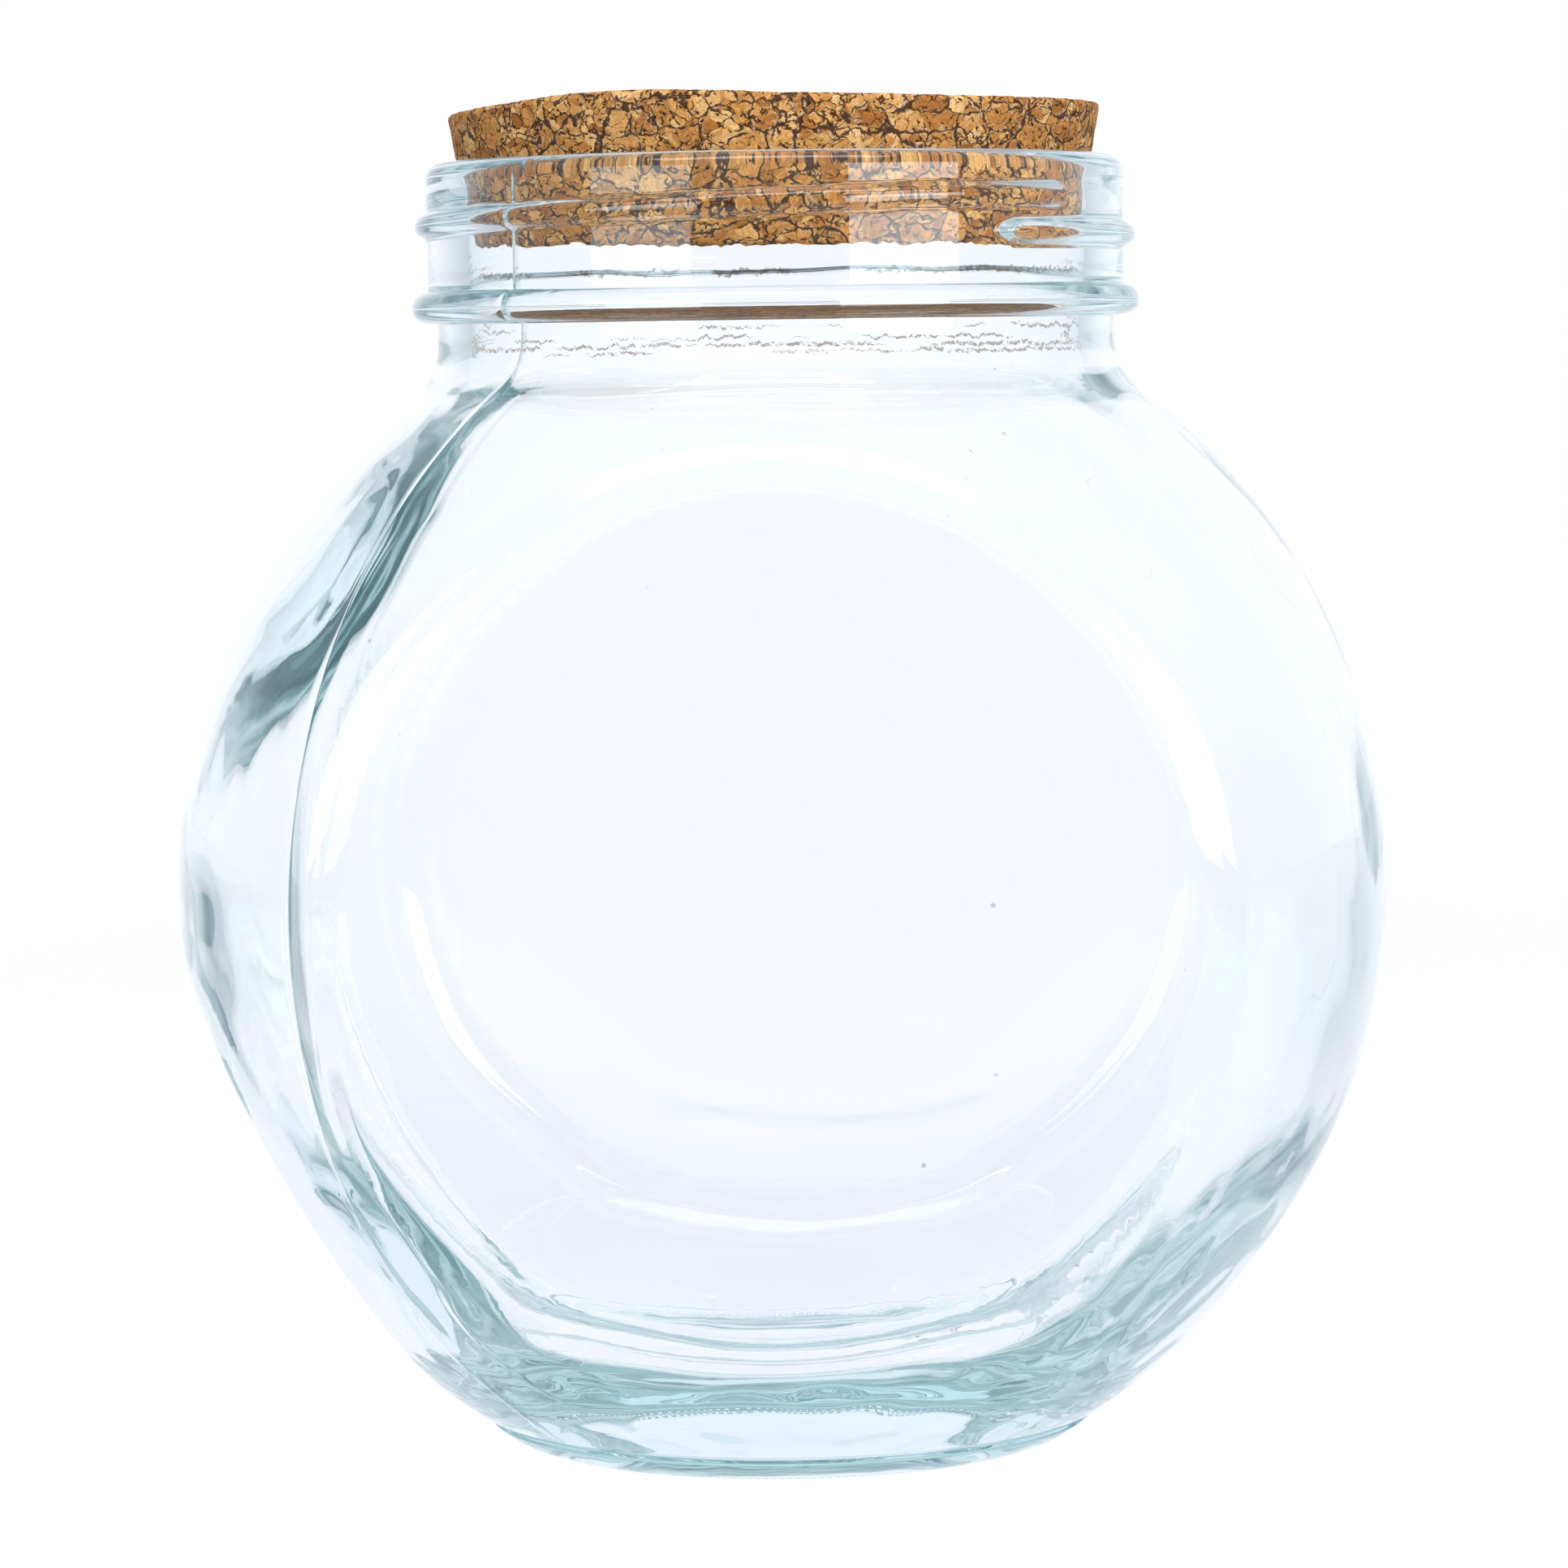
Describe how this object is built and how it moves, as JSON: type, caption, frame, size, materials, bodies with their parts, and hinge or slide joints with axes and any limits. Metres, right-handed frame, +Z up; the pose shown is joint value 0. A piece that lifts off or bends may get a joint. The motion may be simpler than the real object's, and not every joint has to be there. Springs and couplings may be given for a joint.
{
  "type": "glass jar with cork lid",
  "caption": "Round clear glass storage jar with flat front and rear panels, a tilted side rest and a screw-thread neck, closed by a tapered cork stopper that lifts out.",
  "frame": {"origin": "centre of the jar's foot, on the surface that the jar stands on", "axes": "+Z up along the neck; -Y out of the front panel; -X towards the tilted side rest"},
  "size_m": [0.1506, 0.118, 0.167],
  "materials": {
    "clear_glass": "clear, polished, a faint cool tint at its edges",
    "cork": "matte pressed cork granules"
  },
  "bodies": {
    "jar": {"glass_jar": "clear_glass"},
    "stopper": {"cork_lid": "cork"}
  },
  "joints": [
    {"name": "cork_lift", "type": "slide", "parent": "jar", "child": "stopper", "axis": [0, 0, 1], "range_m": [0, 0.06]}
  ]
}
